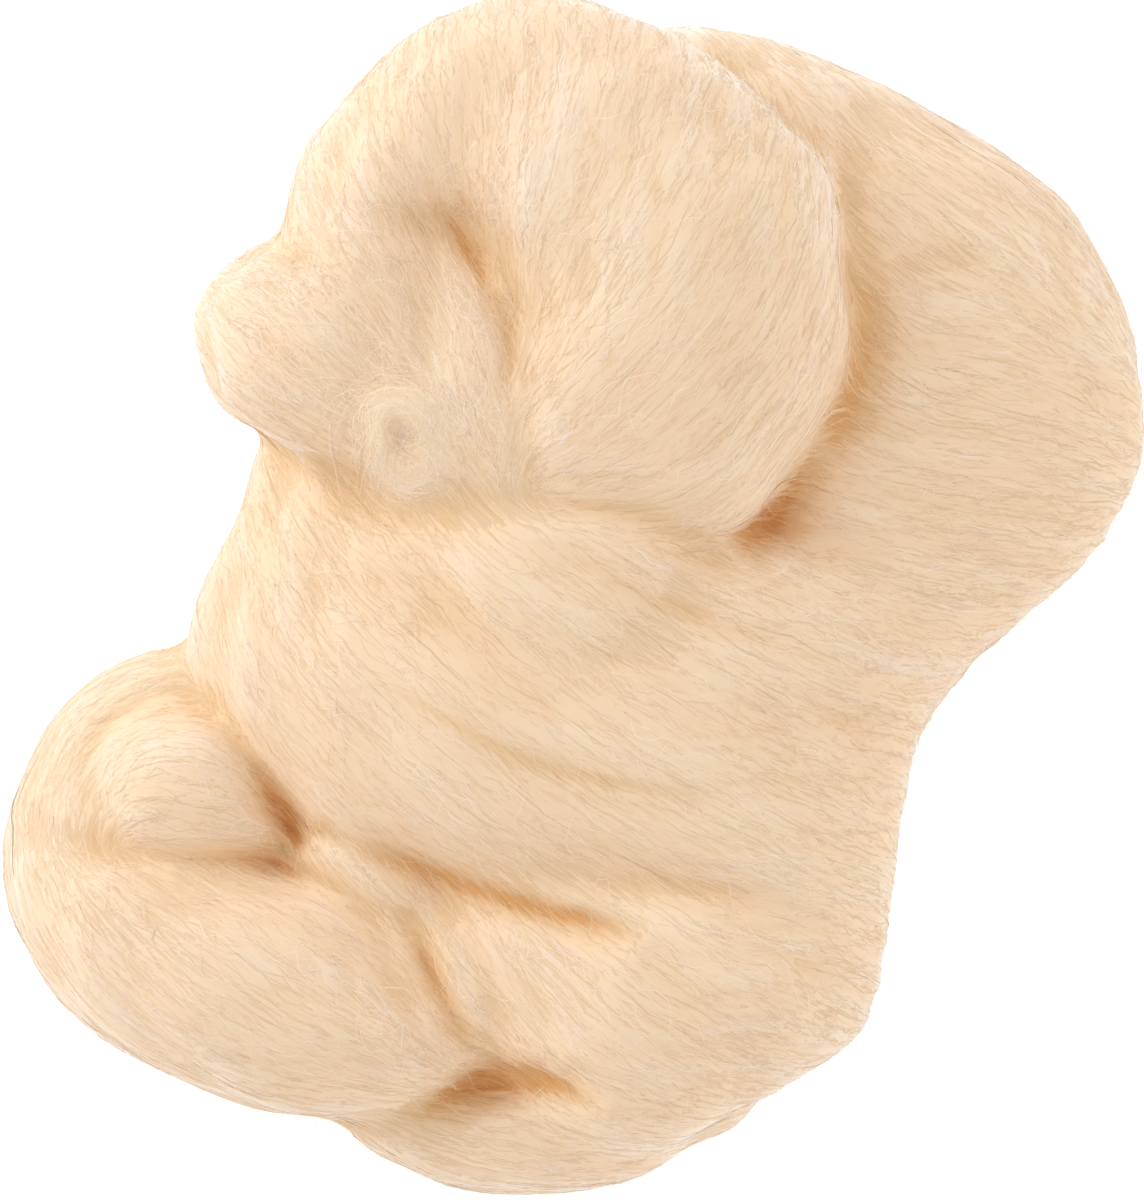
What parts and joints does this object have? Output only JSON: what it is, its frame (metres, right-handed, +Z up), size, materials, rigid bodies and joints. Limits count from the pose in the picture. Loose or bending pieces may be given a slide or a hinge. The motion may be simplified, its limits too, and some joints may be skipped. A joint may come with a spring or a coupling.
{
  "type": "wool roving hank",
  "caption": "Loosely wound hank of combed wool roving, a soft untwisted strand folded into plump lobes, lying flat",
  "frame": {"origin": "middle of the bounding box, on the surface that the hank rests on", "axes": "+Z up, +Y along the hank's longest side towards its crown, +X to the right seen from above"},
  "size_m": [0.1938, 0.2026, 0.0873],
  "materials": {
    "wool": "soft matte combed wool fibre"
  },
  "bodies": {
    "root": {"roving": "wool"}
  },
  "joints": []
}
